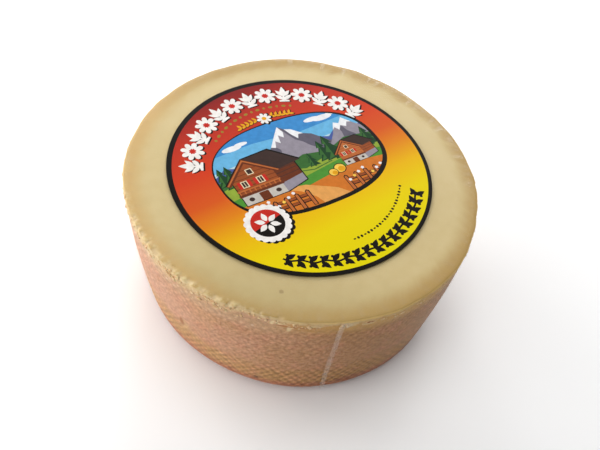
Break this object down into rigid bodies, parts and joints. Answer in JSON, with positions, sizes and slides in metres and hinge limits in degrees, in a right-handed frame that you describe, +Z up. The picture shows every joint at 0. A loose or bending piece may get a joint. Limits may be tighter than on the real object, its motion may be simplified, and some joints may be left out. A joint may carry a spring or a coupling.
{
  "type": "tete de moine half wheel",
  "caption": "Half wheel of a small pressed cheese standing on its rind end with the cut face up, shrink-wrapped in clear film, with a round printed label on the face.",
  "frame": {"origin": "under the middle of the cut edge, on the surface that the cheese stands on", "axes": "+Z up, along the wheel's axis; +Y towards the top of the label, which reads upright for someone who looks along +Y"},
  "size_m": [0.1084, 0.1079, 0.0462],
  "materials": {
    "cheese": "smooth waxy cut paste, ivory yellow and darker towards the edge, over a pinkish brown rind with a cloth imprint",
    "label_paper": "printed satin paper, red running into yellow inside a black edge",
    "clear_film": "thin clear shrink film with fine pleats at the edge and one milky welded seam"
  },
  "bodies": {
    "root": {"wrapped_cheese": "cheese", "label": "label_paper"}
  },
  "joints": []
}
